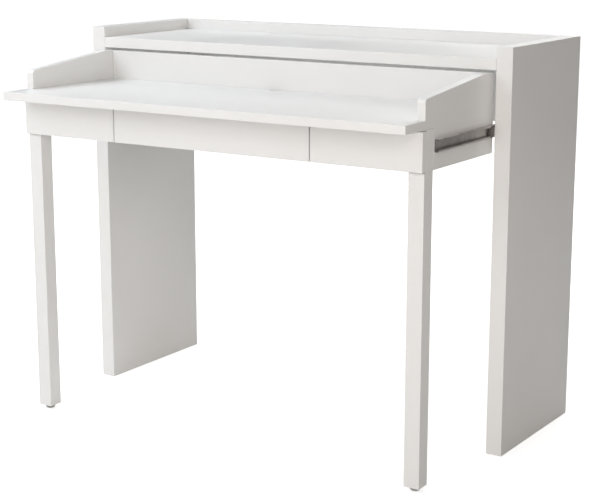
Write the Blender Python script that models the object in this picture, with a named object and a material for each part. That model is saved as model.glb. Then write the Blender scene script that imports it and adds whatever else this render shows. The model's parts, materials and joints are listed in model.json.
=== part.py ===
"""Pull-out writing desk: a console carcass with a desk on telescopic slides.

The desk is modelled pulled out, with its three drawers shut. The frame is metres,
+X along the width, +Y towards the back, +Z up. The origin is on the floor, under
the centre of the pulled-out footprint.
"""

import math

import bmesh
import bpy
from mathutils import Vector

# ---- Fixed carcass -------------------------------------------------------------
WIDTH = 1.100                # over the outer faces of the two carcass sides
HEIGHT = 0.870               # floor to the top of the carcass sides
CARCASS_DEPTH = 0.350
CARCASS_SIDE = 0.036         # thickness of each carcass side
SHELF_DROP = 0.024           # top of the shelf below the top of the sides
SHELF_THICK = 0.024
BACK_THICK = 0.020
BACK_BOTTOM = 0.670          # lower edge of the back panel above the floor

# ---- Pull-out desk -------------------------------------------------------------
DESK_TRAVEL = 0.293          # in: drawer fronts flush with the carcass front
SLIDE_SPACE = 0.010          # width of the slide between desk and carcass, each side
DESKTOP_HEIGHT = 0.750
DESKTOP_THICK = 0.018
DESKTOP_OVERHANG = 0.069     # desktop's front edge ahead of the drawer fronts
DESK_BOARD = 0.018           # desk sides and desk back
DESK_BOTTOM = 0.650          # lower edge of desk sides, back and drawer fronts
DESK_REAR_OFFSET = 0.012     # rear of the pulled-out desk behind the carcass front
GALLERY_REAR_TOP = 0.816     # top of the gallery at the back
GALLERY_FRONT_TOP = 0.791    # top of the gallery's slope at its front corner
GALLERY_FLAT = 0.052         # level stretch of the gallery's top, at the back
GALLERY_CORNER = 0.009       # radius of the gallery's front corner
GALLERY_BEND = 0.120         # radius where the slope meets the level stretch
NOTCH_X = -0.020             # half-round cable notch in the desktop's rear edge
NOTCH_RADIUS = 0.018
DIVIDER_THICK = 0.016
DIVIDER_X = 0.250            # centre of each divider, and of each drawer-front gap

# ---- Legs ----------------------------------------------------------------------
LEG_SECTION = 0.035
LEG_SETBACK = 0.009          # leg's front face behind the drawer fronts
LEG_SHOULDER = 0.648         # height where the leg is cut back behind its front
GLIDE_HEIGHT = 0.009
GLIDE_RADIUS = 0.011
GLIDE_FLAT = 0.0075          # radius of the glide's flat underside
GLIDE_TAPER = 0.0035         # height of the taper above it
GLIDE_STEM_RADIUS = 0.004
GLIDE_STEM = 0.014           # length of the stem above the glide's foot

# ---- Drawers -------------------------------------------------------------------
FRONT_THICK = 0.016
FRONT_TOP = 0.729
FRONT_GAP = 0.003            # gap between neighbouring drawer fronts
BOX_BOTTOM = 0.658
BOX_HEIGHT = 0.060
BOX_BOARD = 0.012
BOX_LENGTH = 0.250
BASE_THICK = 0.004           # drawer bottoms
GROOVE_DEPTH = 0.005
GROOVE_HEIGHT = 0.008        # groove above the lower edge of the box

# ---- Slides and drawer runners: a wide member, a ball cage and a narrow member ----
SHEET = 0.0012               # steel sheet of every slide member
LIP = 0.0040                 # height of the wide member's turned lips
BALL_ROW = 0.0042            # room for a row of balls between the two members
FACE_CLEAR = 0.0014          # from the wide member's web to the narrow member's edges
LIP_CLEAR = 0.0013           # from the wide member's lips to the face across the gap
CAGE_CLEAR = 0.0004          # from the ball cage's arms to the wide member's lips
CAGE_ARM = 0.0022            # thickness of the ball cage beside the balls
CAGE_WEB = 0.0006
DESK_SLIDE_HEIGHT = 0.0255
DESK_SLIDE_Z = 0.6975
SLIDE_SETBACK = 0.0045       # desk member's front end behind the leg
SLIDE_TAIL = 0.020           # desk member's rear end behind the desk
FIXED_REACH = 0.002          # carcass member's front end ahead of the carcass
FIXED_LENGTH = 0.312
END_STOP = 0.0125            # length of the plastic stop ahead of the carcass member
STOP_HEIGHT = 0.024          # height of the stop's flange
STOP_FLANGE = 0.001          # thickness of that flange, outside the desk member's lips
DESK_CAGE_LENGTH = 0.034
DESK_CAGE_REACH = 0.002      # cage's front end ahead of the carcass
RUNNER_SPACE = 0.010         # width of a drawer runner
RUNNER_HEIGHT = 0.027
RUNNER_Z = 0.688
RUNNER_INSET = 0.005         # runner's front end behind the drawer front
RUNNER_CAGE_LENGTH = 0.064
SPACER_HEIGHT = 0.040

GAP = 0.0003                 # clearance between touching pieces

# ---- Places worked out from the dimensions above -------------------------------
REACH = DESK_TRAVEL + DESKTOP_OVERHANG
CARCASS_REAR = (REACH + CARCASS_DEPTH) / 2
CARCASS_FRONT = CARCASS_REAR - CARCASS_DEPTH
CARCASS_INSIDE = WIDTH / 2 - CARCASS_SIDE
SHELF_TOP = HEIGHT - SHELF_DROP
DESKTOP_FRONT = CARCASS_FRONT - REACH
DESKTOP_UNDERSIDE = DESKTOP_HEIGHT - DESKTOP_THICK
DESK_HALF = CARCASS_INSIDE - SLIDE_SPACE
DESK_INSIDE = DESK_HALF - DESK_BOARD
DESK_REAR = CARCASS_FRONT + DESK_REAR_OFFSET
DESK_BACK_FRONT = DESK_REAR - DESK_BOARD
DRAWER_FACE = CARCASS_FRONT - DESK_TRAVEL
DRAWER_SEAT = DRAWER_FACE + FRONT_THICK
LEG_FRONT = DRAWER_FACE + LEG_SETBACK
LEG_REAR = LEG_FRONT + LEG_SECTION
LEG_INSIDE = DESK_HALF - LEG_SECTION
RUNNER_FRONT = DRAWER_SEAT + RUNNER_INSET
RUNNER_REAR = RUNNER_FRONT + BOX_LENGTH

# ---- Finishes: base colour, roughness, metallic --------------------------------
WHITE_LACQUER = ((0.84, 0.84, 0.83), 0.38, 0.0)
DRAWER_WHITE = ((0.80, 0.80, 0.79), 0.55, 0.0)
ZINC_STEEL = ((0.50, 0.49, 0.48), 0.38, 1.0)
BLACK_PLASTIC = ((0.03, 0.03, 0.03), 0.5, 0.0)
GREY_PLASTIC = ((0.54, 0.54, 0.52), 0.5, 0.0)


def clear_scene():
    """Remove every object that is in the scene at the start."""
    for item in list(bpy.data.objects):
        bpy.data.objects.remove(item, do_unlink=True)


def make_finish(name, finish):
    """A Principled material of one colour, roughness and metallic value."""
    colour, roughness, metallic = finish
    material = bpy.data.materials.new(name)
    material.use_nodes = True
    shader = material.node_tree.nodes["Principled BSDF"]
    shader.inputs["Base Color"].default_value = (*colour, 1.0)
    shader.inputs["Roughness"].default_value = roughness
    shader.inputs["Metallic"].default_value = metallic
    return material


def make_body(name, place, parent=None):
    """An empty that carries the pieces which move together."""
    body = bpy.data.objects.new(name, None)
    bpy.context.scene.collection.objects.link(body)
    body.parent = parent
    body.location = Vector(place) - world_place(parent)
    return body


def world_place(body):
    """World position of an unrotated body, summed up its chain of parents."""
    place = Vector((0, 0, 0))
    while body:
        place += body.location
        body = body.parent
    return place


def add_piece(name, shape, place, body, finish):
    """Turn a bmesh, built around its own origin, into a named piece of a body."""
    mesh = bpy.data.meshes.new(name)
    bmesh.ops.recalc_face_normals(shape, faces=shape.faces)
    shape.to_mesh(mesh)
    shape.free()
    mesh.materials.append(make_finish(name + "_finish", finish))
    piece = bpy.data.objects.new(name, mesh)
    bpy.context.scene.collection.objects.link(piece)
    piece.parent = body
    piece.location = Vector(place) - world_place(body)
    return piece


def make_cutter(name, low, high):
    """A box that a Boolean takes away, given by two opposite world corners."""
    cutter = add_board(name, low, high, None, WHITE_LACQUER)
    cutter.hide_render = True
    cutter.display_type = "WIRE"
    return cutter


def cut(piece, cutter):
    """Take the cutter's shape out of the piece."""
    boolean = piece.modifiers.new("cut_" + cutter.name, "BOOLEAN")
    boolean.operation = "DIFFERENCE"
    boolean.solver = "EXACT"
    boolean.object = cutter


def add_board(name, low, high, body, finish):
    """A rectangular board between two opposite world corners."""
    low = Vector(low)
    high = Vector(high)
    shape = bmesh.new()
    bmesh.ops.create_cube(shape, size=1.0)
    bmesh.ops.scale(shape, vec=high - low, verts=shape.verts)
    return add_piece(name, shape, (low + high) / 2, body, finish)


def add_extrusion(name, outline, length, place, body, finish):
    """Extrude an outline of (X, Y, Z) points, relative to place, along a vector."""
    shape = bmesh.new()
    corners = [shape.verts.new(point) for point in outline]
    face = shape.faces.new(corners)
    grown = bmesh.ops.extrude_face_region(shape, geom=[face])
    far_corners = [item for item in grown["geom"] if isinstance(item, bmesh.types.BMVert)]
    bmesh.ops.translate(shape, vec=length, verts=far_corners)
    return add_piece(name, shape, place, body, finish)


def rounded(points, radii, steps=6):
    """Replace each corner of a 2-D outline by an arc of its own radius."""
    outline = []
    for index, point in enumerate(points):
        corner = Vector(point)
        before = (Vector(points[index - 1]) - corner).normalized()
        after = (Vector(points[(index + 1) % len(points)]) - corner).normalized()
        radius = radii[index]
        if radius == 0:
            outline.append(corner)
            continue
        half_angle = before.angle(after) / 2
        centre = corner + (before + after).normalized() * radius / math.sin(half_angle)
        start = corner + before * radius / math.tan(half_angle) - centre
        end = corner + after * radius / math.tan(half_angle) - centre
        turns = [start.slerp(end, step / steps) for step in range(steps + 1)]
        outline += [centre + radius * turn for turn in turns]
    return outline


def add_turned(name, profile, place, body, finish, steps=32):
    """Turn a profile of (radius, height) points, from axis to axis, about +Z."""
    shape = bmesh.new()
    rings = []
    for radius, height in profile:
        if radius == 0:
            rings.append([shape.verts.new((0, 0, height))] * steps)
            continue
        angles = [math.tau * step / steps for step in range(steps)]
        ring = [(radius * math.cos(a), radius * math.sin(a), height) for a in angles]
        rings.append([shape.verts.new(point) for point in ring])
    for lower, upper in zip(rings, rings[1:]):
        for step in range(steps):
            after = (step + 1) % steps
            corners = [lower[step], lower[after], upper[after], upper[step]]
            shape.faces.new(list(dict.fromkeys(corners)))
    piece = add_piece(name, shape, place, body, finish)
    piece.data.shade_smooth()
    piece.data.set_sharp_from_angle(angle=math.radians(35))
    return piece


def add_channel(name, web_x, edge_x, height, span_y, centre_z, body, lip=0.0):
    """A steel channel along Y: upright web at web_x, two arms to edge_x, turned lips."""
    width = edge_x - web_x
    sheet = math.copysign(SHEET, width)
    top = height / 2
    half = [
        (sheet, top - SHEET),
        (width, top - SHEET),
        (width, top),
        (0, top),
    ]
    if lip:
        half[1:2] = [
            (width - sheet, top - SHEET),
            (width - sheet, top - lip),
            (width, top - lip),
        ]
    return add_section(name, half, web_x, span_y, centre_z, body, ZINC_STEEL)


def add_cage(name, web_x, edge_x, height, span_y, centre_z, body):
    """The U-shaped plastic strip that spaces the balls between two members."""
    width = edge_x - web_x
    web = math.copysign(CAGE_WEB, width)
    top = height / 2
    half = [
        (web, top - CAGE_ARM),
        (width, top - CAGE_ARM),
        (width, top),
        (0, top),
    ]
    return add_section(name, half, web_x, span_y, centre_z, body, BLACK_PLASTIC)


def add_section(name, half, web_x, span_y, centre_z, body, finish):
    """Extrude a section along Y, given by the (x, z) points of its upper half."""
    lower = [(x, -z) for x, z in reversed(half)]
    points = [(x, 0, z) for x, z in half + lower]
    front, rear = span_y
    place = (web_x, front, centre_z)
    return add_extrusion(name, points, (0, rear - front, 0), place, body, finish)


def add_ball_slide(names, wide_face, narrow_face, height, spans, centre_z, bodies):
    """A two-member slide between two faces: its wide, cage and narrow pieces."""
    hand = 1 if narrow_face > wide_face else -1
    wide_web = wide_face + hand * GAP
    narrow_web = narrow_face - hand * GAP
    wide_edge = narrow_web - hand * LIP_CLEAR
    narrow_edge = wide_web + hand * (SHEET + FACE_CLEAR)
    cage_web = wide_web + hand * (SHEET + (FACE_CLEAR - CAGE_WEB) / 2)
    cage_edge = wide_edge - hand * (SHEET + CAGE_CLEAR)
    narrow_height = height - 2 * (SHEET + BALL_ROW)
    cage_height = narrow_height + BALL_ROW + CAGE_ARM

    add_channel(names[0], wide_web, wide_edge, height, spans[0], centre_z, bodies[0], LIP)
    add_cage(names[1], cage_web, cage_edge, cage_height, spans[1], centre_z, bodies[1])
    add_channel(names[2], narrow_web, narrow_edge, narrow_height, spans[2], centre_z,
                bodies[2])
    return narrow_web, narrow_edge, narrow_height


def build_carcass(carcass):
    """Two thick sides down to the floor, the top shelf and the back panel."""
    for label, side in (("left", -1), ("right", 1)):
        faces = sorted((side * CARCASS_INSIDE, side * WIDTH / 2))
        low = (faces[0], CARCASS_FRONT, 0)
        high = (faces[1], CARCASS_REAR, HEIGHT)
        add_board(f"carcass_{label}_side", low, high, carcass, WHITE_LACQUER)

    half = CARCASS_INSIDE - GAP
    back_front = CARCASS_REAR - BACK_THICK
    low = (-half, CARCASS_FRONT, SHELF_TOP - SHELF_THICK)
    high = (half, back_front - GAP, SHELF_TOP)
    add_board("top_shelf", low, high, carcass, WHITE_LACQUER)
    low = (-half, back_front, BACK_BOTTOM)
    high = (half, CARCASS_REAR, HEIGHT)
    add_board("carcass_back_panel", low, high, carcass, WHITE_LACQUER)


def build_desktop(desk):
    """The worktop: full width ahead of the desk sides, and between them behind that."""
    wide = DESK_HALF
    narrow = DESK_INSIDE - GAP
    shoulder = LEG_FRONT - GAP
    rear = DESK_BACK_FRONT - GAP
    arc_steps = 12
    arc = []
    for step in range(arc_steps + 1):
        angle = math.pi * step / arc_steps
        x = NOTCH_X + NOTCH_RADIUS * math.cos(angle)
        arc.append((x, rear - NOTCH_RADIUS * math.sin(angle), 0))
    outline = [
        (-wide, DESKTOP_FRONT, 0),
        (wide, DESKTOP_FRONT, 0),
        (wide, shoulder, 0),
        (narrow, shoulder, 0),
        (narrow, rear, 0),
        *arc,
        (-narrow, rear, 0),
        (-narrow, shoulder, 0),
        (-wide, shoulder, 0),
    ]
    place = (0, 0, DESKTOP_UNDERSIDE)
    add_extrusion("desktop", outline, (0, 0, DESKTOP_THICK), place, desk, WHITE_LACQUER)


def build_desk_sides(desk):
    """Sides with a sloping gallery above the desktop, cut back to stand on the legs."""
    front = LEG_FRONT
    points = [
        (LEG_REAR + GAP, DESK_BOTTOM),
        (DESK_REAR, DESK_BOTTOM),
        (DESK_REAR, GALLERY_REAR_TOP),
        (DESK_REAR - GALLERY_FLAT, GALLERY_REAR_TOP),
        (front, GALLERY_FRONT_TOP),
        (front, DESKTOP_UNDERSIDE),
        (LEG_REAR + GAP, DESKTOP_UNDERSIDE),
    ]
    radii = [0, 0, 0, GALLERY_BEND, GALLERY_CORNER, 0, 0]
    outline = [(0, y, z) for y, z in rounded(points, radii)]
    for label, inner_face in (("left", -DESK_HALF), ("right", DESK_INSIDE)):
        place = (inner_face, 0, 0)
        name = f"desk_{label}_side"
        add_extrusion(name, outline, (DESK_BOARD, 0, 0), place, desk, WHITE_LACQUER)


def build_desk_frame(desk):
    """The desk's back and the two dividers between the drawers."""
    half = DESK_INSIDE - GAP
    low = (-half, DESK_BACK_FRONT, DESK_BOTTOM)
    high = (half, DESK_REAR, GALLERY_REAR_TOP)
    add_board("desk_back", low, high, desk, WHITE_LACQUER)
    for label, side in (("left", -1), ("right", 1)):
        centre = side * DIVIDER_X
        low = (centre - DIVIDER_THICK / 2, DRAWER_SEAT + GAP, DESK_BOTTOM)
        high = (centre + DIVIDER_THICK / 2, DESK_BACK_FRONT - GAP, DESKTOP_UNDERSIDE - GAP)
        add_board(f"{label}_divider", low, high, desk, WHITE_LACQUER)


def build_legs(desk):
    """Square front legs, cut back behind the drawer fronts, each on a screwed glide."""
    profile = [
        (LEG_REAR, GLIDE_HEIGHT),
        (LEG_REAR, DESKTOP_UNDERSIDE - GAP),
        (DRAWER_SEAT + GAP, DESKTOP_UNDERSIDE - GAP),
        (DRAWER_SEAT + GAP, LEG_SHOULDER),
        (LEG_FRONT, LEG_SHOULDER),
        (LEG_FRONT, GLIDE_HEIGHT),
    ]
    outline = [(0, y, z) for y, z in profile]
    neck_radius = 0.009
    neck_low = 0.0058
    neck_high = 0.0068
    glide = [
        (0, 0),
        (GLIDE_FLAT, 0),
        (GLIDE_RADIUS, GLIDE_TAPER),
        (GLIDE_RADIUS, neck_low),
        (neck_radius, neck_high),
        (neck_radius, GLIDE_HEIGHT - GAP),
        (GLIDE_STEM_RADIUS, GLIDE_HEIGHT - GAP),
        (GLIDE_STEM_RADIUS, GLIDE_HEIGHT + GLIDE_STEM),
        (0, GLIDE_HEIGHT + GLIDE_STEM),
    ]
    bore_radius = GLIDE_STEM_RADIUS + GAP
    bore_top = GLIDE_HEIGHT + GLIDE_STEM + GAP
    bore = [(0, 0), (bore_radius, 0), (bore_radius, bore_top), (0, bore_top)]
    centre_y = (LEG_FRONT + LEG_REAR) / 2
    for label, inner_face in (("left", -DESK_HALF), ("right", LEG_INSIDE)):
        length = (LEG_SECTION, 0, 0)
        place = (inner_face, 0, 0)
        leg = add_extrusion(f"{label}_leg", outline, length, place, desk, WHITE_LACQUER)
        foot = (inner_face + LEG_SECTION / 2, centre_y, 0)
        cutter = add_turned(f"{label}_leg_bore", bore, foot, None, WHITE_LACQUER)
        cutter.hide_render = True
        cutter.display_type = "WIRE"
        cut(leg, cutter)
        add_turned(f"{label}_leg_glide", glide, foot, desk, GREY_PLASTIC)


def build_runner_spacers(desk):
    """Battens that bring the outer drawer runners in line with the legs."""
    rear = RUNNER_REAR
    for label, side in (("left", -1), ("right", 1)):
        faces = sorted((side * LEG_INSIDE, side * (DESK_INSIDE - GAP)))
        low = (faces[0], LEG_REAR + GAP, RUNNER_Z - SPACER_HEIGHT / 2)
        high = (faces[1], rear, RUNNER_Z + SPACER_HEIGHT / 2)
        add_board(f"{label}_runner_spacer", low, high, desk, WHITE_LACQUER)


def build_desk_slide(label, side, carcass, cages, desk):
    """A ball slide in the gap between desk and carcass, its wide member on the desk."""
    name = f"desk_slide_{label}"
    names = (f"{name}_desk_member", f"{name}_ball_cage", f"{name}_carcass_member")
    cage_front = CARCASS_FRONT - DESK_CAGE_REACH
    fixed_front = CARCASS_FRONT - FIXED_REACH
    spans = (
        (LEG_REAR + SLIDE_SETBACK, DESK_REAR + SLIDE_TAIL),
        (cage_front, cage_front + DESK_CAGE_LENGTH),
        (fixed_front, fixed_front + FIXED_LENGTH),
    )
    web, edge, height = add_ball_slide(names, side * DESK_HALF, side * CARCASS_INSIDE,
                                       DESK_SLIDE_HEIGHT, spans, DESK_SLIDE_Z,
                                       (desk, cages, carcass))
    width = edge - web
    flange = math.copysign(STOP_FLANGE, width)
    stop = [
        (width, height / 2),
        (flange, height / 2),
        (flange, STOP_HEIGHT / 2),
        (0, STOP_HEIGHT / 2),
    ]
    span = (fixed_front - END_STOP, fixed_front - GAP)
    add_section(f"{name}_end_stop", stop, web, span, DESK_SLIDE_Z, carcass, BLACK_PLASTIC)


def build_drawer(label, left_edge, right_edge, left_bay, right_bay, bodies):
    """A drawer between two front edges, its box and runners between two bay faces."""
    drawer = bodies[2]
    front_name = f"drawer_{label}_front"
    low = (left_edge, DRAWER_FACE, DESK_BOTTOM)
    high = (right_edge, DRAWER_SEAT, FRONT_TOP)
    front = add_board(front_name, low, high, drawer, WHITE_LACQUER)

    box_left = left_bay + RUNNER_SPACE
    box_right = right_bay - RUNNER_SPACE
    box_front = DRAWER_SEAT + GAP
    box_rear = box_front + BOX_LENGTH
    box_top = BOX_BOTTOM + BOX_HEIGHT
    groove_low = BOX_BOTTOM + GROOVE_HEIGHT
    groove_high = groove_low + BASE_THICK + 2 * GAP

    groove_left = box_left + BOX_BOARD - GROOVE_DEPTH
    groove_right = box_right - BOX_BOARD + GROOVE_DEPTH
    groove_front = DRAWER_SEAT - GROOVE_DEPTH
    cutter = make_cutter(f"{front_name}_groove", (groove_left, groove_front, groove_low),
                         (groove_right, DRAWER_SEAT + BOX_BOARD, groove_high))
    cut(front, cutter)

    section = [
        (0, BOX_BOTTOM),
        (BOX_BOARD, BOX_BOTTOM),
        (BOX_BOARD, groove_low),
        (BOX_BOARD - GROOVE_DEPTH, groove_low),
        (BOX_BOARD - GROOVE_DEPTH, groove_high),
        (BOX_BOARD, groove_high),
        (BOX_BOARD, box_top),
        (0, box_top),
    ]
    for hand, outer_face, inward in (("left", box_left, 1), ("right", box_right, -1)):
        outline = [(inward * x, 0, z) for x, z in section]
        place = (outer_face, box_front, 0)
        add_extrusion(f"drawer_{label}_{hand}_side", outline, (0, BOX_LENGTH, 0), place,
                      drawer, DRAWER_WHITE)

    low = (box_left + BOX_BOARD + GAP, box_rear - BOX_BOARD, groove_high)
    high = (box_right - BOX_BOARD - GAP, box_rear, box_top)
    add_board(f"drawer_{label}_back", low, high, drawer, DRAWER_WHITE)
    low = (groove_left + GAP, groove_front + GAP, groove_low + GAP)
    high = (groove_right - GAP, box_rear, groove_low + GAP + BASE_THICK)
    add_board(f"drawer_{label}_bottom", low, high, drawer, DRAWER_WHITE)

    runner_span = (RUNNER_FRONT, RUNNER_REAR)
    cage_front = (RUNNER_FRONT + RUNNER_REAR - RUNNER_CAGE_LENGTH) / 2
    spans = (runner_span, (cage_front, cage_front + RUNNER_CAGE_LENGTH), runner_span)
    for hand, bay_face, box_face in (("left", left_bay, box_left),
                                     ("right", right_bay, box_right)):
        name = f"drawer_{label}_{hand}_runner"
        names = (f"{name}_fixed", f"{name}_ball_cage", f"{name}_moving")
        add_ball_slide(names, bay_face, box_face, RUNNER_HEIGHT, spans, RUNNER_Z, bodies)


def build_drawers(desk):
    """A narrow drawer at each end and a wide one between the dividers."""
    bay_edge = DIVIDER_X + DIVIDER_THICK / 2
    wide_bay = DIVIDER_X - DIVIDER_THICK / 2
    outer_edge = DIVIDER_X + FRONT_GAP / 2
    inner_edge = DIVIDER_X - FRONT_GAP / 2
    drawers = (
        ("left", -DESK_HALF, -outer_edge, -LEG_INSIDE, -bay_edge),
        ("center", -inner_edge, inner_edge, -wide_bay, wide_bay),
        ("right", outer_edge, DESK_HALF, bay_edge, LEG_INSIDE),
    )
    for label, left_edge, right_edge, left_bay, right_bay in drawers:
        place = ((left_bay + right_bay) / 2, RUNNER_FRONT, RUNNER_Z)
        cages = make_body(f"drawer_{label}_cages", place, desk)
        drawer = make_body(f"drawer_{label}", place, desk)
        bodies = (desk, cages, drawer)
        build_drawer(label, left_edge, right_edge, left_bay, right_bay, bodies)


def build():
    """Make the carcass, the slides and the desk with everything that it carries."""
    clear_scene()
    carcass = make_body("carcass", (0, 0, 0))
    desk = make_body("desk", (0, CARCASS_FRONT, DESK_SLIDE_Z), carcass)
    build_carcass(carcass)
    build_desktop(desk)
    build_desk_sides(desk)
    build_desk_frame(desk)
    build_legs(desk)
    build_runner_spacers(desk)
    cages = make_body("desk_slide_cages", (0, CARCASS_FRONT, DESK_SLIDE_Z), carcass)
    for label, side in (("left", -1), ("right", 1)):
        build_desk_slide(label, side, carcass, cages, desk)
    build_drawers(desk)


build()
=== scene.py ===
"""Looks of the pull-out writing desk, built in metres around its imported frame.

The boards keep their CAD meshes, with softened edges and a satin white lacquer. The
slides, drawer runners, ball cages, end stops and leg glides get detailed pieces of
their own, and fittings are added where such furniture has them.
"""

import json
import math

import bmesh
import bpy
from mathutils import Matrix, Vector


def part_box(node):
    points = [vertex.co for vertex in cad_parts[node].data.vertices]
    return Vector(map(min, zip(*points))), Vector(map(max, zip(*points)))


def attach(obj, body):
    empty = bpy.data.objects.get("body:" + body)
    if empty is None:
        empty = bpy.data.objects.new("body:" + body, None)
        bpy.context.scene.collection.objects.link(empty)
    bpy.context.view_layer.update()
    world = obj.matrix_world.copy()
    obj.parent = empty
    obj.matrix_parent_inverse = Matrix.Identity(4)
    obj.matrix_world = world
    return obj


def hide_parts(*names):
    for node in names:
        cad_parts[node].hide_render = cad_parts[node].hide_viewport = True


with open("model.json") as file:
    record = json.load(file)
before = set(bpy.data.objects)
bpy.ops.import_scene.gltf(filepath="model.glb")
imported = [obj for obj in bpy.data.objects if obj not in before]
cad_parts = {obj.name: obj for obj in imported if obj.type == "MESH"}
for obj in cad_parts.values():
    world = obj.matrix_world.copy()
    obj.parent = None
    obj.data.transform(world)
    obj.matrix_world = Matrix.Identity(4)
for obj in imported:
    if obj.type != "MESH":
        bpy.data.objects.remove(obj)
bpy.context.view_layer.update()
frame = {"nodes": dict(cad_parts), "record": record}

# ---- Sizes ---------------------------------------------------------------------
BOARD_EDGE = 0.0008          # radius of the lacquered boards' edges
BOX_EDGE = 0.0004            # radius of the drawer boxes' edges
SHEET = 0.0012               # steel sheet of the slides
LIP = 0.0040                 # turned lips of the wide members
RACE_DEPTH = 0.00035         # groove that a ball row runs in
RACE_HALF = 0.00125          # half its width
BALL_RADIUS = 0.0024
BALL_PITCH = 0.009
BALL_PLACE = 0.0042          # ball row's centre from the wide member's web
NARROW_BALL_PLACE = 0.0052   # and from the narrow member's web
WINDOW_RADIUS = 0.0025       # cage's window round each ball
CAGE_ARM = 0.0022            # thickness of the cage beside the balls
CAGE_WEB = 0.0006
STOP_FLANGE = 0.0010         # thickness of the end stop's flange
STOP_RIM = 0.0002            # radius of its moulded edges
SLOT_HALF = 0.0028           # half the straight length of a member's slots
SLOT_RADIUS = 0.0021
SCREW_RADIUS = 0.0033
CAM_RADIUS = 0.0075
CAM_INSET = 0.034            # cams' centres from the ends of their board
CAM_HEIGHT = 0.042           # above the lower edge of a drawer side
SHELF_CAM_DEPTH = 0.050      # behind the shelf's front edge, and ahead of its rear edge
THREAD_CORE = 0.0034         # radii and pitch of the glides' threaded stems
THREAD_CREST = 0.0039
THREAD_PITCH = 0.00125

# Screws and slots along each kind of member, behind its front end.
WIDE_SCREWS = (0.028, 0.124, 0.220)
DESK_SLOTS = (0.268,)
RUNNER_SLOTS = (0.060, 0.092, 0.172)
CARCASS_SCREWS = (0.045, 0.150, 0.265)
CARCASS_SLOTS = (0.075, 0.120, 0.200, 0.235)
DRAWER_SCREWS = (0.035, 0.125, 0.215)
DRAWER_SLOTS = (0.065, 0.095, 0.160)

FLOOR_SIZE = 60
FLOOR_DROP = 0.0005          # floor's surface below the desk's feet
FLOOR_TONE = 0.75
FLOOR_GLOW = 0.6             # light that the camera sees in the floor by the desk
GLOW_START = 0.7             # distance from the desk where that light starts to grow
GLOW_END = 2.2               # and where it reaches plain white
SURROUND_LIGHT = 0.05

CAMERA_PLACE = (1.8385, -2.7946, 1.1295)
CAMERA_LENS = 90.55
CAMERA_DOWN = 12.559         # degrees below level
CAMERA_TURN = 32.707         # degrees to the left of straight back

# Tints of the soft lights.
WARM = (1.0, 0.92, 0.85)
COOL = (0.92, 0.96, 1.0)
PLAIN = (1.0, 0.98, 0.95)

# A warm key at the right front and a cool one high on the left set the main tones. The
# lamps low on the left lift the near left edges, but stay weak, so that the outer left
# side keeps its shape. Name, place, height faced above the origin, size, watts, tint.
LIGHTS = (
    ("key_right_front", (2.8, -3.2, 2.0), 0.5, 2.0, 55, WARM),
    ("key_top_left", (-2.4, -0.2, 3.0), 0.6, 2.0, 75, COOL),
    ("rim_back", (0.0, 3.0, 3.0), 0.6, 2.4, 80, PLAIN),
    ("fill_top_front", (0.0, -2.4, 3.4), 0.6, 2.2, 15, COOL),
    ("fill_right_high", (2.4, -1.2, 3.2), 0.6, 2.0, 15, PLAIN),
    ("fill_left_low", (-3.2, -1.2, 0.7), 0.5, 1.6, 25, WARM),
    ("fill_front_low", (1.0, -2.8, 0.5), 0.4, 1.2, 15, WARM),
    ("edge_near_left", (-0.9, -1.8, 1.5), 0.6, 1.0, 12, COOL),
)

DRAWERS = ("left", "center", "right")
SIDES = (("left", -1), ("right", 1))


# ---- Materials -----------------------------------------------------------------
class Recipe:
    """A Principled material, with short ways to wire its nodes."""

    def __init__(self, name, settings):
        self.material = bpy.data.materials.new(name)
        self.material.use_nodes = True
        self.tree = self.material.node_tree
        self.shader = self.tree.nodes["Principled BSDF"]
        for socket, value in settings.items():
            self.shader.inputs[socket].default_value = value
        self.place = self.add("TexCoord").outputs["Object"]

    def add(self, kind, inputs=(), **settings):
        """A node of a kind, with its settings and its inputs' values or links."""
        made = self.tree.nodes.new("ShaderNode" + kind)
        for name, value in settings.items():
            setattr(made, name, value)
        for socket, value in dict(inputs).items():
            if isinstance(value, bpy.types.NodeSocket):
                self.tree.links.new(value, made.inputs[socket])
            else:
                made.inputs[socket].default_value = value
        return made

    def noise(self, scale, detail=2.0, stretch=(1, 1, 1), shift=0.0):
        """Noise over the object, of about 1 / scale metres."""
        inputs = {"Vector": self.place, "Scale": stretch, "Location": (shift,) * 3}
        vector = self.add("Mapping", inputs).outputs["Vector"]
        inputs = {"Vector": vector, "Scale": scale, "Detail": detail}
        return self.add("TexNoise", inputs).outputs["Fac"]

    def spread(self, value, low, high, to_low, to_high):
        """A value spread from one range over another, and held inside it."""
        inputs = {"Value": value, "From Min": low, "From Max": high,
                  "To Min": to_low, "To Max": to_high}
        return self.add("MapRange", inputs).outputs["Result"]

    def blend(self, share, first, second):
        """A colour part of the way from the first to the second."""
        made = self.add("Mix", data_type="RGBA")
        for socket, value in ((made.inputs[0], share), (made.inputs[6], first),
                              (made.inputs[7], second)):
            if isinstance(value, bpy.types.NodeSocket):
                self.tree.links.new(value, socket)
            else:
                socket.default_value = value
        return made.outputs[2]

    def maths(self, operation, first, second):
        made = self.add("Math", {0: first, 1: second}, operation=operation)
        return made.outputs[0]

    def edges(self, radius):
        """1 on convex and concave edges, falling to 0 a radius away from them."""
        around = self.add("Bevel", {"Radius": radius}, samples=4).outputs["Normal"]
        straight = self.add("NewGeometry").outputs["Normal"]
        turned = self.add("VectorMath", {0: around, 1: straight}, operation="DOT_PRODUCT")
        return self.spread(turned.outputs["Value"], 0.99, 0.80, 0.0, 1.0)

    def bump(self, height, strength, distance, normal=None):
        inputs = {"Height": height, "Strength": strength, "Distance": distance}
        if normal:
            inputs["Normal"] = normal
        return self.add("Bump", inputs).outputs["Normal"]

    def finish(self, colour=None, roughness=None, normal=None):
        """Wire what varies over the surface to the shader."""
        for socket, value in (("Base Color", colour), ("Roughness", roughness),
                              ("Normal", normal)):
            if value:
                self.tree.links.new(value, self.shader.inputs[socket])
        return self.material


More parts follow.
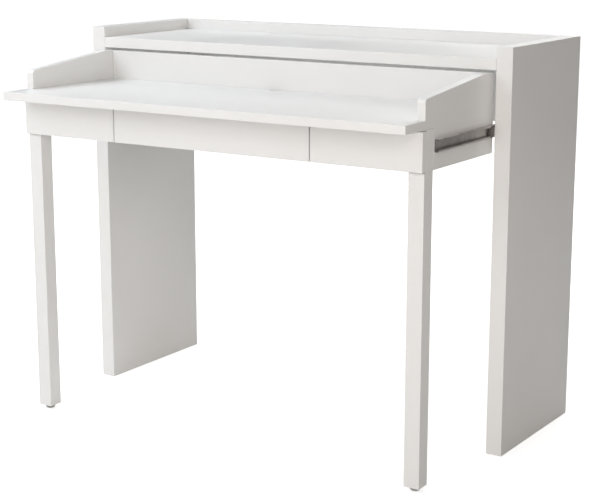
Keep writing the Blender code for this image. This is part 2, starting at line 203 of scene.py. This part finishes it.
def tone(red, green, blue):
    return (red, green, blue, 1.0)


def white_lacquer():
    """Sprayed satin lacquer: orange peel, faint clouding, dust, rubbed edges."""
    recipe = Recipe("white_lacquer_satin", {"Specular IOR Level": 0.5})
    clouds = recipe.spread(recipe.noise(3.1, 3), 0.35, 0.65, 0.0, 1.0)
    colour = recipe.blend(clouds, tone(0.800, 0.799, 0.792), tone(0.782, 0.780, 0.772))
    dust = recipe.spread(recipe.noise(310, 1), 0.72, 0.80, 0.0, 0.35)
    colour = recipe.blend(dust, colour, tone(0.70, 0.69, 0.67))
    rubbing = recipe.spread(recipe.noise(46, 3, shift=4.0), 0.40, 0.68, 0.0, 0.5)
    rubbed = recipe.maths("MULTIPLY", recipe.edges(0.0011), rubbing)
    colour = recipe.blend(rubbed, colour, tone(0.66, 0.65, 0.62))

    handled = recipe.spread(recipe.noise(8.5, 4, shift=9.0), 0.38, 0.66, 0.33, 0.42)
    grit = recipe.spread(recipe.noise(650, 1), 0.3, 0.7, -0.02, 0.02)
    roughness = recipe.maths("ADD", handled, grit)
    roughness = recipe.maths("ADD", roughness, recipe.maths("MULTIPLY", rubbed, 0.2))

    sag = recipe.bump(recipe.noise(21, 1, shift=2.0), 0.10, 0.0004)
    peel = recipe.bump(recipe.noise(430, 2), 0.16, 0.00006, sag)
    return recipe.finish(colour, roughness, peel)


def drawer_foil():
    """Matt white foil on the drawer boxes, with a fine leather emboss."""
    recipe = Recipe("drawer_white_foil", {"Specular IOR Level": 0.4})
    clouds = recipe.spread(recipe.noise(5.3, 2), 0.35, 0.65, 0.0, 1.0)
    colour = recipe.blend(clouds, tone(0.765, 0.762, 0.750), tone(0.745, 0.742, 0.728))
    worn = recipe.maths("MULTIPLY", recipe.edges(0.0009),
                        recipe.spread(recipe.noise(60, 3), 0.45, 0.65, 0.0, 0.6))
    colour = recipe.blend(worn, colour, tone(0.60, 0.57, 0.52))
    roughness = recipe.spread(recipe.noise(14, 3, shift=3.0), 0.35, 0.65, 0.50, 0.60)
    inputs = {"Vector": recipe.place, "Scale": 720.0}
    cells = recipe.add("TexVoronoi", inputs, feature="SMOOTH_F1").outputs["Distance"]
    emboss = recipe.bump(cells, 0.22, 0.00008)
    return recipe.finish(colour, roughness, emboss)


def zinc_steel():
    """Zinc-plated sheet: rolling lines along the slide, faint spangle, dull patches."""
    recipe = Recipe("zinc_steel_plated", {"Metallic": 1.0})
    inputs = {"Vector": recipe.place, "Scale": 120.0}
    spangle = recipe.add("TexVoronoi", inputs).outputs["Color"]
    spangle = recipe.add("SeparateColor", {"Color": spangle}).outputs[0]
    colour = recipe.blend(recipe.spread(spangle, 0.0, 1.0, 0.0, 1.0),
                          tone(0.62, 0.60, 0.58), tone(0.56, 0.54, 0.52))
    dull = recipe.spread(recipe.noise(34, 4), 0.45, 0.70, 0.0, 0.6)
    colour = recipe.blend(dull, colour, tone(0.48, 0.46, 0.44))
    lines = recipe.noise(900, 2, stretch=(1, 0.012, 1))
    roughness = recipe.maths("ADD", recipe.spread(lines, 0.3, 0.7, 0.42, 0.52),
                             recipe.spread(dull, 0.0, 1.0, 0.0, 0.10))
    rolled = recipe.bump(lines, 0.12, 0.00004)
    return recipe.finish(colour, roughness, rolled)


def sheared_steel():
    """The dull sheared ends of the sheet. Their dark colour is partly bare cut steel and partly
    painted shade, a dark line drawn at each member's ends.
    """
    recipe = Recipe("sheared_steel_painted_shade", {"Metallic": 0.6})
    burnt = recipe.spread(recipe.noise(700, 3), 0.35, 0.65, 0.0, 1.0)
    colour = recipe.blend(burnt, tone(0.16, 0.155, 0.15), tone(0.10, 0.095, 0.09))
    roughness = recipe.spread(recipe.noise(900, 2, shift=3.0), 0.3, 0.7, 0.50, 0.65)
    return recipe.finish(colour, roughness, recipe.bump(burnt, 0.2, 0.00004))


def ball_steel():
    """Bright hardened steel, lightly greased."""
    recipe = Recipe("ball_steel_bright", {"Metallic": 1.0})
    grease = recipe.spread(recipe.noise(420, 3), 0.45, 0.65, 0.0, 1.0)
    colour = recipe.blend(grease, tone(0.72, 0.72, 0.71), tone(0.55, 0.53, 0.49))
    roughness = recipe.spread(grease, 0.0, 1.0, 0.12, 0.30)
    return recipe.finish(colour, roughness, recipe.bump(grease, 0.05, 0.00003))


def moulded_plastic(name, light, dark, gloss):
    """Moulded plastic with a fine spark-eroded texture and rubbed edges."""
    recipe = Recipe(name, {"Specular IOR Level": 0.45})
    clouds = recipe.spread(recipe.noise(90, 3), 0.35, 0.65, 0.0, 1.0)
    colour = recipe.blend(clouds, light, dark)
    rubbed = recipe.maths("MULTIPLY", recipe.edges(0.0005), 0.35)
    colour = recipe.blend(rubbed, colour, tone(*(min(1.0, v * 1.6) for v in light[:3])))
    roughness = recipe.spread(recipe.noise(260, 2, shift=5.0), 0.3, 0.7,
                              gloss - 0.05, gloss + 0.05)
    texture = recipe.bump(recipe.noise(1500, 2), 0.20, 0.00005)
    return recipe.finish(colour, roughness, texture)


LACQUER = white_lacquer()
FOIL = drawer_foil()
STEEL = zinc_steel()
# Cut ends: bare steel, darkened further as painted shade.
SHEARED_PAINTED_SHADE = sheared_steel()
BALLS = ball_steel()
BLACK = moulded_plastic("black_plastic_moulded", tone(0.030, 0.030, 0.031),
                        tone(0.022, 0.022, 0.023), 0.42)
STOP = moulded_plastic("stop_plastic_moulded", tone(0.105, 0.100, 0.095),
                       tone(0.088, 0.084, 0.080), 0.45)
GREY = moulded_plastic("glide_plastic_moulded", tone(0.43, 0.425, 0.415),
                       tone(0.39, 0.385, 0.375), 0.48)
BOARD_LOOKS = {"white_lacquer": (LACQUER, BOARD_EDGE), "drawer_white": (FOIL, BOX_EDGE)}


# ---- Boards: the CAD meshes, with rounded edges ----------------------------------
def smooth_nodes():
    """A Geometry Nodes group that shades every face and edge smooth."""
    group = bpy.data.node_groups.new("shade_smooth", "GeometryNodeTree")
    for flow in ("INPUT", "OUTPUT"):
        group.interface.new_socket("Geometry", in_out=flow,
                                   socket_type="NodeSocketGeometry")
    last = group.nodes.new("NodeGroupInput").outputs[0]
    for domain in ("FACE", "EDGE"):
        shade = group.nodes.new("GeometryNodeSetShadeSmooth")
        shade.domain = domain
        group.links.new(last, shade.inputs["Geometry"])
        last = shade.outputs["Geometry"]
    group.links.new(last, group.nodes.new("NodeGroupOutput").inputs[0])
    return group


def soften(board, radius, group):
    """Round a board's edges, and keep its flat faces flat in shading."""
    weld = board.modifiers.new("weld", "WELD")
    weld.merge_threshold = 0.00001
    flatten = board.modifiers.new("flatten", "DECIMATE")
    flatten.decimate_type = "DISSOLVE"
    flatten.angle_limit = math.radians(0.5)
    bevel = board.modifiers.new("edge_radius", "BEVEL")
    bevel.width = radius
    bevel.segments = 3
    bevel.limit_method = "ANGLE"
    bevel.angle_limit = math.radians(30)
    bevel.miter_outer = "MITER_ARC"
    board.modifiers.new("shading", "NODES").node_group = group
    flatten_faces(board, False)


def flatten_faces(piece, keep_sharp=True):
    """Let large faces set the shading, so that only the rounded edges look round."""
    normals = piece.modifiers.new("flat_faces", "WEIGHTED_NORMAL")
    normals.weight = 100
    normals.keep_sharp = keep_sharp


def dress_boards():
    slots = {part["node"]: part["material_slot"] for part in frame["record"]["subparts"]}
    group = smooth_nodes()
    for name, board in frame["nodes"].items():
        if slots[name] in BOARD_LOOKS:
            look, radius = BOARD_LOOKS[slots[name]]
            board.data.materials.clear()
            board.data.materials.append(look)
            soften(board, radius, group)


# ---- Mesh tools ------------------------------------------------------------------
def add_piece(name, shape, materials, body, sharp=35):
    """Turn a bmesh into a piece that rides on a body, shaded by edge angle."""
    mesh = bpy.data.meshes.new(name)
    shape.to_mesh(mesh)
    shape.free()
    for material in materials:
        mesh.materials.append(material)
    mesh.shade_smooth()
    mesh.set_sharp_from_angle(angle=math.radians(sharp))
    piece = bpy.data.objects.new(name, mesh)
    bpy.context.scene.collection.objects.link(piece)
    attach(piece, body)
    return piece


def rounded(corners, steps=4):
    """An outline from (across, up, radius) corners, each turned into an arc."""
    outline = []
    for index, (across, up, radius) in enumerate(corners):
        corner = Vector((across, up))
        if radius == 0:
            outline.append(corner)
            continue
        before = (Vector(corners[index - 1][:2]) - corner).normalized()
        after = (Vector(corners[(index + 1) % len(corners)][:2]) - corner).normalized()
        half_angle = before.angle(after) / 2
        centre = corner + (before + after).normalized() * radius / math.sin(half_angle)
        start = corner + before * radius / math.tan(half_angle) - centre
        end = corner + after * radius / math.tan(half_angle) - centre
        turns = [start.slerp(end, step / steps) for step in range(steps + 1)]
        outline += [centre + radius * turn for turn in turns]
    return outline


def extrude(outline, front, rear):
    """Carry an (X, Z) outline along Y, with closed ends."""
    shape = bmesh.new()
    rings = [[shape.verts.new((x, y, z)) for x, z in outline] for y in (front, rear)]
    ends = [shape.faces.new(ring) for ring in rings]
    for index in range(len(outline)):
        after = (index + 1) % len(outline)
        shape.faces.new((rings[0][index], rings[0][after], rings[1][after],
                         rings[1][index]))
    bmesh.ops.recalc_face_normals(shape, faces=shape.faces)
    bmesh.ops.triangulate(shape, faces=ends)
    return shape


def turn(profile, steps=40):
    """Turn a profile of (radius, height) points, from axis to axis, about Z."""
    shape = bmesh.new()
    rings = []
    for radius, height in profile:
        if radius == 0:
            rings.append([shape.verts.new((0, 0, height))] * steps)
            continue
        angles = [math.tau * step / steps for step in range(steps)]
        rings.append([shape.verts.new((radius * math.cos(a), radius * math.sin(a), height))
                      for a in angles])
    for lower, upper in zip(rings, rings[1:]):
        for step in range(steps):
            after = (step + 1) % steps
            corners = [lower[step], lower[after], upper[after], upper[step]]
            shape.faces.new(list(dict.fromkeys(corners)))
    bmesh.ops.recalc_face_normals(shape, faces=shape.faces)
    return shape


def add_copy(shape, other, matrix, index=0):
    """Add a moved copy of another bmesh's faces, with a material index."""
    copies = {vert: shape.verts.new(matrix @ vert.co) for vert in other.verts}
    for face in other.faces:
        made = shape.faces.new([copies[vert] for vert in face.verts])
        made.material_index = index


def carve(shape, cutters):
    """The shape with the cutters' joined shape taken out of it."""
    holders = []
    for source in (shape, cutters):
        mesh = bpy.data.meshes.new("carving")
        source.to_mesh(mesh)
        source.free()
        holder = bpy.data.objects.new("carving", mesh)
        bpy.context.scene.collection.objects.link(holder)
        holders.append(holder)
    boolean = holders[0].modifiers.new("cut", "BOOLEAN")
    boolean.operation = "DIFFERENCE"
    boolean.solver = "EXACT"
    boolean.object = holders[1]
    carved = bmesh.new()
    carved.from_object(holders[0], bpy.context.evaluated_depsgraph_get())
    for holder in holders:
        mesh = holder.data
        bpy.data.objects.remove(holder)
        bpy.data.meshes.remove(mesh)
    bmesh.ops.remove_doubles(carved, verts=carved.verts, dist=0.000001)
    return carved


def along_x(place, hand):
    """Stand a shape built along Z at a place, with its Z turned to plus or minus X."""
    return Matrix.Translation(place) @ Matrix.Rotation(hand * math.pi / 2, 4, "Y")


# ---- Fittings: screw heads and cams ------------------------------------------------
def crossed_head(profile, arm, width, depth, top):
    """A turned head along Z with a cross recess in its top."""
    head = turn(profile, 24)
    for turned in (0, math.pi / 2):
        bar = bmesh.new()
        bmesh.ops.create_cube(bar, size=1.0)
        for vert in bar.verts:
            narrow = 0.55 if vert.co.z < 0 else 1.0
            vert.co = Vector((vert.co.x * arm * narrow, vert.co.y * width, vert.co.z * depth))
        matrix = Matrix.Translation((0, 0, top)) @ Matrix.Rotation(turned, 4, "Z")
        bmesh.ops.transform(bar, matrix=matrix, verts=bar.verts)
        head = carve(head, bar)
    return head


def flat_screw():
    """A countersunk head, almost flush with the sheet that it holds."""
    r = SCREW_RADIUS
    profile = [(0, -0.0010), (r * 0.5, -0.0010), (r * 0.97, -0.0002), (r, 0.0),
               (r * 0.96, 0.00012), (r * 0.5, 0.00022), (0, 0.00026)]
    return crossed_head(profile, r * 1.1, r * 0.22, 0.0012, 0.0002)


def pan_screw():
    """A low domed head on top of the sheet that it holds."""
    r = SCREW_RADIUS
    profile = [(0, 0.0), (r, 0.0), (r, 0.0004), (r * 0.93, 0.0009), (r * 0.72, 0.0013),
               (r * 0.4, 0.0015), (0, 0.00155)]
    return crossed_head(profile, r * 1.1, r * 0.22, 0.0014, 0.0015)


def cam_disc():
    """The face of a cam fitting, with a rim and a cross slot."""
    r = CAM_RADIUS
    profile = [(0, -0.0008), (r * 0.98, -0.0008), (r, -0.0001), (r, 0.0003),
               (r * 0.96, 0.0004), (r * 0.84, 0.0004), (r * 0.80, 0.0001),
               (r * 0.3, 0.0001), (0, 0.0001)]
    return crossed_head(profile, r * 1.15, r * 0.17, 0.0012, 0.0002)


def add_fittings(name, head, matrices, body):
    """Copies of one head, joined into a piece."""
    shape = bmesh.new()
    for matrix in matrices:
        add_copy(shape, head, matrix)
    add_piece(name, shape, [STEEL], body)


# ---- Slides and drawer runners -----------------------------------------------------
def race(centre, height, dip, out):
    """Points of a ball race across an arm, from one edge of the groove to the other."""
    points = []
    for step in range(-4, 5):
        share = step / 4
        across = centre + out * RACE_HALF * share
        points.append((across, height + dip * math.cos(share * math.pi / 2), 0))
    return points


def mirrored(upper, web_x, hand, centre_z):
    """A whole section from its upper half, at its place in the slide."""
    lower = [(u, -v, r) for u, v, r in reversed(upper)]
    outline = rounded(upper + lower)
    return [(web_x + hand * u, centre_z + v) for u, v in outline]


def wide_section(depth, height):
    top = height / 2
    inner = top - SHEET
    return [
        (0, top, 0.0022), (depth, top, 0.0018), (depth, top - LIP, 0.0004),
        (depth - SHEET, top - LIP, 0.0004), (depth - SHEET, inner, 0.0007),
        *race(BALL_PLACE, inner, RACE_DEPTH, -1), (SHEET, inner, 0.0010),
    ]


def narrow_section(depth, height):
    top = height / 2
    inner = top - SHEET
    return [
        (0, top, 0.0016), *race(NARROW_BALL_PLACE, top, -RACE_DEPTH, 1), (depth, top, 0.0003),
        (depth, inner, 0.0003), *race(NARROW_BALL_PLACE, inner, -RACE_DEPTH, -1),
        (SHEET, inner, 0.0005),
    ]


def cage_section(depth, height):
    top = height / 2
    return [(0, top, 0.0007), (depth, top, 0.0005), (depth, top - CAGE_ARM, 0.0005),
            (CAGE_WEB, top - CAGE_ARM, 0.0003)]


def hole_cutters(places, half_slot, radius, axis_x):
    """Cutters through an upright web: round holes, or slots drawn out along Y."""
    cutters = bmesh.new()
    steps = 20
    for y, z in places:
        rim = []
        for step in range(steps):
            angle = math.tau * step / steps
            shift = math.copysign(half_slot, math.cos(angle))
            rim.append((y + shift + radius * math.cos(angle), z + radius * math.sin(angle)))
        rings = [[cutters.verts.new((x, *point)) for point in rim] for x in axis_x]
        for ring in rings:
            cutters.faces.new(ring)
        for step in range(steps):
            after = (step + 1) % steps
            cutters.faces.new((rings[0][step], rings[0][after], rings[1][after],
                               rings[1][step]))
    bmesh.ops.recalc_face_normals(cutters, faces=cutters.faces)
    return cutters


def build_member(node, hand, section, body, screws, slots, head):
    """A formed steel member with its slots and the screws that hold it."""
    low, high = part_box(node)
    web_x = low.x if hand > 0 else high.x
    centre_z = (low.z + high.z) / 2
    outline = mirrored(section(high.x - low.x, high.z - low.z), web_x, hand, centre_z)
    shape = extrude(outline, low.y, high.y)
    span = sorted((web_x - hand * 0.001, web_x + hand * 0.002))
    places = [(low.y + y, centre_z) for y in slots]
    shape = carve(shape, hole_cutters(places, SLOT_HALF, SLOT_RADIUS, span))
    shape.normal_update()
    # The end faces take the dark sheared steel, partly painted shade along the members' ends.
    for face in shape.faces:
        middle = face.calc_center_median().y
        if abs(face.normal.y) > 0.9 and min(middle - low.y, high.y - middle) < 0.0001:
            face.material_index = 1
    piece = add_piece(f"{node}_formed", shape, [STEEL, SHEARED_PAINTED_SHADE], body)
    flatten_faces(piece)
    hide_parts(node)
    face_x = web_x + hand * SHEET
    matrices = [along_x((face_x, low.y + y, centre_z), hand) for y in screws]
    add_fittings(f"{node}_screws", head, matrices, body)


def build_cage(node, hand, wide, body):
    """A ball cage: the plastic strip with its windows, and two rows of steel balls."""
    low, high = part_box(node)
    web_x = low.x if hand > 0 else high.x
    wide_low, wide_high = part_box(wide)
    ball_x = (wide_low.x if hand > 0 else wide_high.x) + hand * BALL_PLACE
    centre_z = (low.z + high.z) / 2
    outline = mirrored(cage_section(high.x - low.x, high.z - low.z), web_x, hand, centre_z)
    shape = extrude(outline, low.y, high.y)
    count = int((high.y - low.y) / BALL_PITCH)
    first = (low.y + high.y - (count - 1) * BALL_PITCH) / 2
    row = [first + index * BALL_PITCH for index in range(count)]
    lift = (high.z - low.z - CAGE_ARM) / 2

    windows = bmesh.new()
    balls = bmesh.new()
    reach = 0.004
    window = turn([(0, -reach), (WINDOW_RADIUS, -reach), (WINDOW_RADIUS, reach), (0, reach)], 20)
    ball = bmesh.new()
    bmesh.ops.create_uvsphere(ball, u_segments=16, v_segments=10, radius=BALL_RADIUS)
    for y in row:
        for up in (-lift, lift):
            matrix = Matrix.Translation((ball_x, y, centre_z + up))
            add_copy(windows, window, matrix)
            add_copy(balls, ball, matrix)
    window.free()
    ball.free()
    shape = carve(shape, windows)
    span = sorted((web_x - hand * 0.001, web_x + hand * 0.0015))
    gaps = [(y + BALL_PITCH / 2, centre_z) for y in row[:-1]]
    shape = carve(shape, hole_cutters(gaps, 0.0008, 0.0026, span))
    piece = add_piece(f"{node}_moulded", shape, [BLACK], body)
    flatten_faces(piece)
    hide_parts(node)
    add_piece(f"{node}_balls", balls, [BALLS], body, sharp=80)


def build_end_stop(node, hand, member, body):
    """The plastic stop ahead of a member: a ribbed nose and a flange, all rounded."""
    low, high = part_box(node)
    member_low, member_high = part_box(member)
    flange_x = low.x if hand > 0 else high.x
    depth = high.x - low.x
    centre_z = (low.z + high.z) / 2
    top = (high.z - low.z) / 2
    nose = (member_high.z - member_low.z) / 2
    upper = [(0, top, 0.0004), (STOP_FLANGE, top, 0.0004), (STOP_FLANGE, nose, 0.0002),
             (depth, nose, 0.0012)]
    shape = extrude(mirrored(upper, flange_x, hand, centre_z), low.y, high.y)
    grooves = bmesh.new()
    groove = bmesh.new()
    bmesh.ops.create_cube(groove, size=1.0)
    size = Matrix.Diagonal((depth - STOP_FLANGE - 0.0018, 0.0016, 0.0013, 1.0))
    groove_x = flange_x + hand * (depth + STOP_FLANGE) / 2
    for share in (-0.5, 0.0, 0.5):
        place = (groove_x, low.y, centre_z + share * nose)
        add_copy(grooves, groove, Matrix.Translation(place) @ size)
    groove.free()
    piece = add_piece(f"{node}_moulded", carve(shape, grooves), [STOP], body)
    rim = piece.modifiers.new("moulded_edges", "BEVEL")
    rim.width = STOP_RIM
    rim.segments = 2
    rim.limit_method = "ANGLE"
    rim.angle_limit = math.radians(40)
    flatten_faces(piece)
    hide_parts(node)


def build_slides():
    flat = flat_screw()
    pan = pan_screw()
    for label, side in SIDES:
        name = f"desk_slide_{label}"
        desk, cage, fixed = (f"{name}_{part}" for part in
                             ("desk_member", "ball_cage", "carcass_member"))
        build_member(desk, side, wide_section, "desk", WIDE_SCREWS, DESK_SLOTS, flat)
        build_member(fixed, -side, narrow_section, "carcass", CARCASS_SCREWS, CARCASS_SLOTS,
                     pan)
        build_cage(cage, side, desk, "desk_slide_cages")
        build_end_stop(f"{name}_end_stop", -side, fixed, "carcass")
        for drawer in DRAWERS:
            name = f"drawer_{drawer}_{label}_runner"
            fixed, cage, moving = (f"{name}_{part}" for part in
                                   ("fixed", "ball_cage", "moving"))
            build_member(fixed, -side, wide_section, "desk", WIDE_SCREWS, RUNNER_SLOTS, flat)
            build_member(moving, side, narrow_section, f"drawer_{drawer}", DRAWER_SCREWS,
                         DRAWER_SLOTS, pan)
            build_cage(cage, -side, fixed, f"drawer_{drawer}_cages")


# ---- Leg glides --------------------------------------------------------------------
def build_glides():
    for label, _ in SIDES:
        node = f"{label}_leg_glide"
        low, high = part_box(node)
        centre = ((low.x + high.x) / 2, (low.y + high.y) / 2, low.z)
        foot = (high.x - low.x) / 2
        profile = [
            (0, 0.0), (0.0068, 0.0), (0.0075, 0.0002), (0.0086, 0.0010), (0.0098, 0.0021),
            (0.0106, 0.0030), (foot, 0.0037), (foot, 0.0052), (foot - 0.0004, 0.0058),
            (foot - 0.0014, 0.0061), (foot - 0.0021, 0.0064), (foot - 0.0022, 0.0070),
            (foot - 0.0020, 0.0084), (foot - 0.0023, 0.0086), (0.0045, 0.0087),
            (0.0038, 0.0088),
        ]
        height = 0.0092
        while height < high.z - low.z - 0.0016:
            profile += [(THREAD_CORE, height), (THREAD_CREST, height + 0.0004),
                        (THREAD_CREST, height + 0.0007), (THREAD_CORE, height + 0.0011)]
            height += THREAD_PITCH
        profile += [(THREAD_CORE, high.z - low.z - 0.0006), (0.0026, high.z - low.z),
                    (0, high.z - low.z)]
        shape = turn(profile, 48)
        bmesh.ops.translate(shape, vec=centre, verts=shape.verts)
        piece = add_piece(f"{node}_turned", shape, [GREY], "desk")
        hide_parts(node)


# ---- Cam fittings, out of sight in normal use ---------------------------------------
def build_cams():
    """Cams in the drawer sides, and under the shelf where it meets the sides."""
    disc = cam_disc()
    for drawer in DRAWERS:
        matrices = []
        for label, side in SIDES:
            low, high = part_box(f"drawer_{drawer}_{label}_side")
            face = low.x if side > 0 else high.x
            for y in (low.y + CAM_INSET, high.y - CAM_INSET):
                matrices.append(along_x((face, y, low.z + CAM_HEIGHT), -side))
        add_fittings(f"drawer_{drawer}_cams", disc, matrices, f"drawer_{drawer}")
    low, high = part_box("top_shelf")
    upside_down = Matrix.Rotation(math.pi, 4, "X")
    matrices = []
    for x in (low.x + CAM_INSET, high.x - CAM_INSET):
        for y in (low.y + SHELF_CAM_DEPTH, high.y - SHELF_CAM_DEPTH):
            matrices.append(Matrix.Translation((x, y, low.z)) @ upside_down)
    add_fittings("top_shelf_cams", disc, matrices, "carcass")


# ---- Stage, light and camera ---------------------------------------------------------
def build_stage():
    """A pale floor, and a plain surround that it runs out into.

    The floor is paler to the camera than to the light that it throws back, and runs
    out into plain white away from the desk, as a studio sweep does.
    """
    shape = bmesh.new()
    bmesh.ops.create_grid(shape, x_segments=1, y_segments=1, size=FLOOR_SIZE)
    mesh = bpy.data.meshes.new("floor")
    shape.to_mesh(mesh)
    shape.free()
    floor = bpy.data.objects.new("floor", mesh)
    floor.location.z = -FLOOR_DROP
    bpy.context.scene.collection.objects.link(floor)
    recipe = Recipe("floor_pale", {"Specular IOR Level": 0.1,
                                   "Base Color": tone(FLOOR_TONE, FLOOR_TONE, FLOOR_TONE),
                                   "Emission Color": tone(1, 1, 1)})
    reach = recipe.add("VectorMath", {0: recipe.place}, operation="LENGTH").outputs["Value"]
    glow = recipe.spread(reach, GLOW_START, GLOW_END, FLOOR_GLOW, 1.0)
    seen = recipe.add("LightPath").outputs["Is Camera Ray"]
    recipe.tree.links.new(recipe.maths("MULTIPLY", glow, seen),
                          recipe.shader.inputs["Emission Strength"])
    recipe.finish(roughness=recipe.spread(recipe.noise(2.0), 0.3, 0.7, 0.86, 0.94))
    mesh.materials.append(recipe.material)

    world = bpy.data.worlds.new("surround")
    world.use_nodes = True
    tree = world.node_tree
    seen = tree.nodes.new("ShaderNodeLightPath").outputs["Is Camera Ray"]
    strength = tree.nodes.new("ShaderNodeMapRange")
    strength.inputs["To Min"].default_value = SURROUND_LIGHT
    tree.links.new(seen, strength.inputs["Value"])
    tree.links.new(strength.outputs["Result"], tree.nodes["Background"].inputs["Strength"])
    tree.nodes["Background"].inputs["Color"].default_value = tone(1, 1, 1)
    bpy.context.scene.world = world


def add_light(name, place, target, size, power, tint):
    """A square soft light that faces a point."""
    data = bpy.data.lights.new(name, "AREA")
    data.shape = "SQUARE"
    data.size = size
    data.energy = power
    data.color = tint
    light = bpy.data.objects.new(name, data)
    light.location = place
    aim = Vector(target) - Vector(place)
    light.rotation_euler = aim.to_track_quat("-Z", "Y").to_euler()
    bpy.context.scene.collection.objects.link(light)


def build_light():
    for name, place, height, size, power, tint in LIGHTS:
        add_light(name, place, (0, 0, height), size, power, tint)


def build_camera():
    """The photo's viewing angle, without shift or depth of field."""
    data = bpy.data.cameras.new("camera")
    data.sensor_width = 36
    data.lens = CAMERA_LENS
    camera = bpy.data.objects.new("camera", data)
    camera.location = CAMERA_PLACE
    camera.rotation_euler = (math.radians(90 - CAMERA_DOWN), 0, math.radians(CAMERA_TURN))
    bpy.context.scene.collection.objects.link(camera)
    bpy.context.scene.camera = camera


dress_boards()
build_slides()
build_glides()
build_cams()
build_stage()
build_light()
build_camera()
bpy.context.scene.view_settings.view_transform = "Standard"
